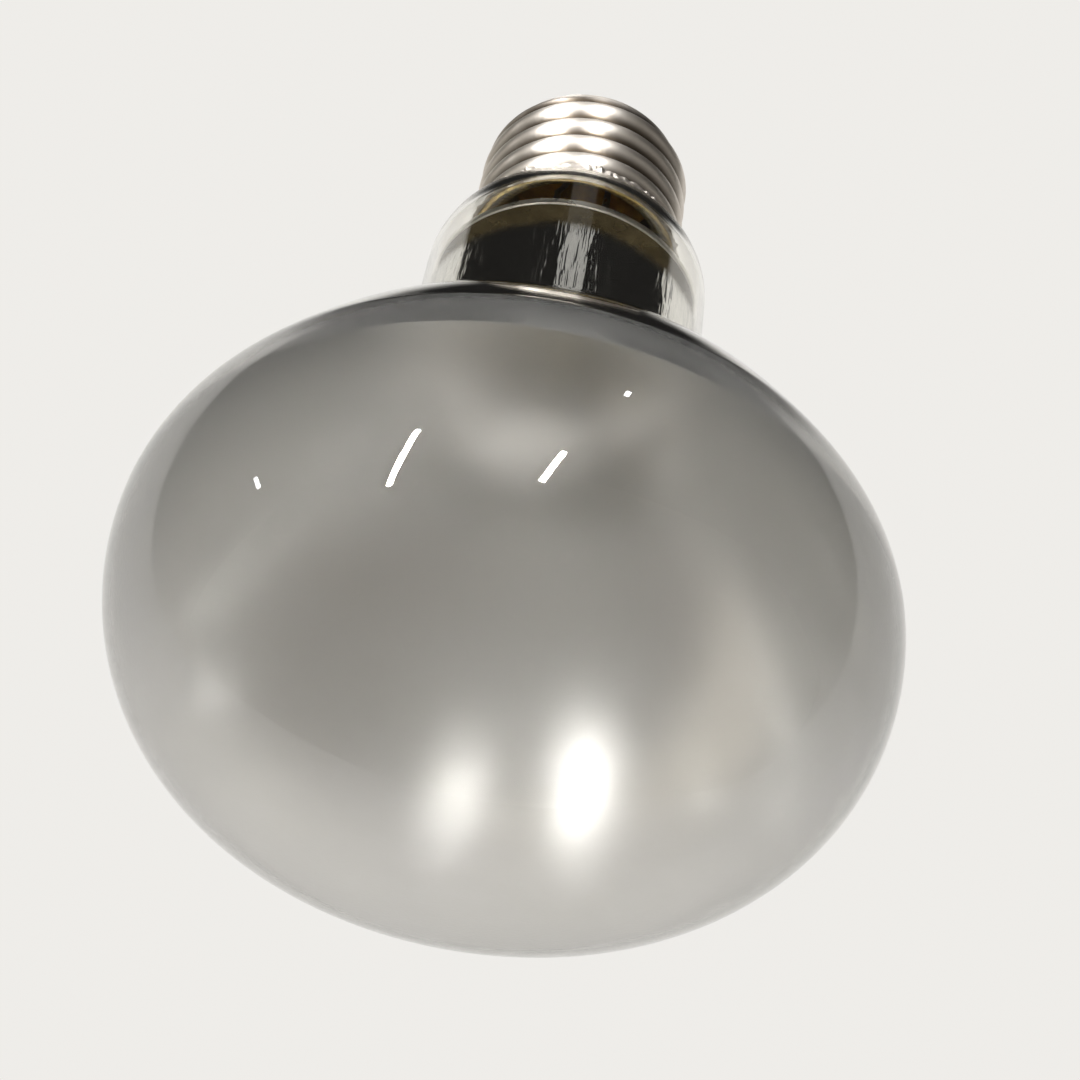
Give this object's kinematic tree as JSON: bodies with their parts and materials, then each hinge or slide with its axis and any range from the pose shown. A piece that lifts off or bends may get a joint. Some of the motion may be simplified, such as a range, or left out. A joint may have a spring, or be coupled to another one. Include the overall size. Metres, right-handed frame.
{
  "type": "reflector bulb",
  "caption": "Mushroom-shaped incandescent reflector lamp with a frosted front, a mirrored back, a clear neck band and a threaded screw cap, lighting in a directed beam.",
  "frame": {"origin": "centre of the flat crown of the centre contact, at the cap's end", "axes": "+Z along the lamp axis towards the cap, so the frosted front faces down; -Y towards the viewer"},
  "size_m": [0.08, 0.08, 0.1135],
  "materials": {
    "envelope_glass": "blown glass, frosted inside the front and mirrored inside the back",
    "stem_glass": "clear glass",
    "lead_metal": "nickel wire",
    "filament_metal": "drawn tungsten",
    "sleeve_fibre": "varnished fibre sleeve",
    "shield_metal": "rolled sheet",
    "cap_metal": "bright nickel plate",
    "cap_insulator": "black moulded glass",
    "contact_metal": "stamped plate",
    "solder": "dull solder",
    "cement": "baked brown cement"
  },
  "bodies": {
    "root": {"glass_envelope": "envelope_glass", "stem": "stem_glass", "centre_lead": "lead_metal", "side_lead": "lead_metal", "filament": "filament_metal", "support_wires": "filament_metal", "lead_sleeve": "sleeve_fibre", "heat_shield": "shield_metal", "screw_shell": "cap_metal", "insulator": "cap_insulator", "centre_contact": "contact_metal", "centre_solder": "solder", "side_solder": "solder", "basing_cement": "cement"}
  },
  "joints": []
}
